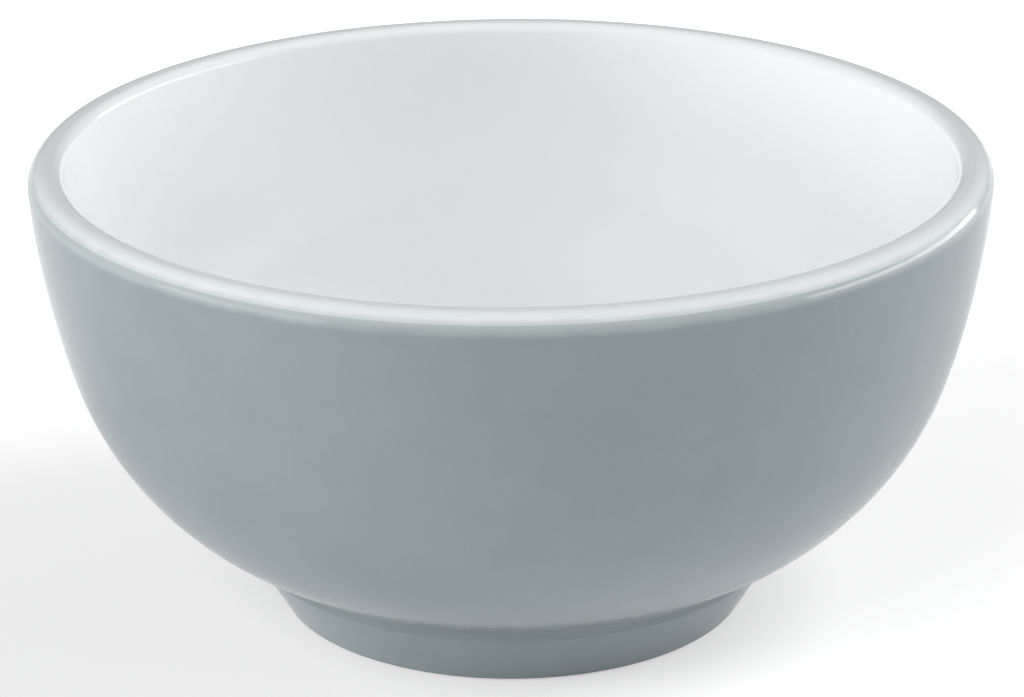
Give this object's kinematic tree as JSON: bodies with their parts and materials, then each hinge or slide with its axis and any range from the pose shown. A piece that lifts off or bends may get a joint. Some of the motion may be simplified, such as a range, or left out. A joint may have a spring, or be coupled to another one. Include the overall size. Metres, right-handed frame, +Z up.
{
  "type": "footed bowl",
  "caption": "Deep round footed dip bowl in glazed stoneware, gloss white inside and over the lip, pale blue-grey outside.",
  "frame": {"origin": "centre of the foot's resting plane", "axes": "+Z up along the bowl's axis of revolution; X and Y are level and alike, because the bowl is round"},
  "size_m": [0.13, 0.13, 0.064],
  "materials": {
    "biscuit_clay": "bare fired stoneware, matt, with a fine sandy grain",
    "white_glaze": "glossy opaque white glaze",
    "grey_glaze": "satin to semi-gloss pale blue-grey glaze"
  },
  "bodies": {
    "root": {"bowl_body": "biscuit_clay", "foot_ring": "biscuit_clay", "inner_glaze": "white_glaze", "outer_glaze": "grey_glaze", "recess_glaze": "grey_glaze"}
  },
  "joints": []
}
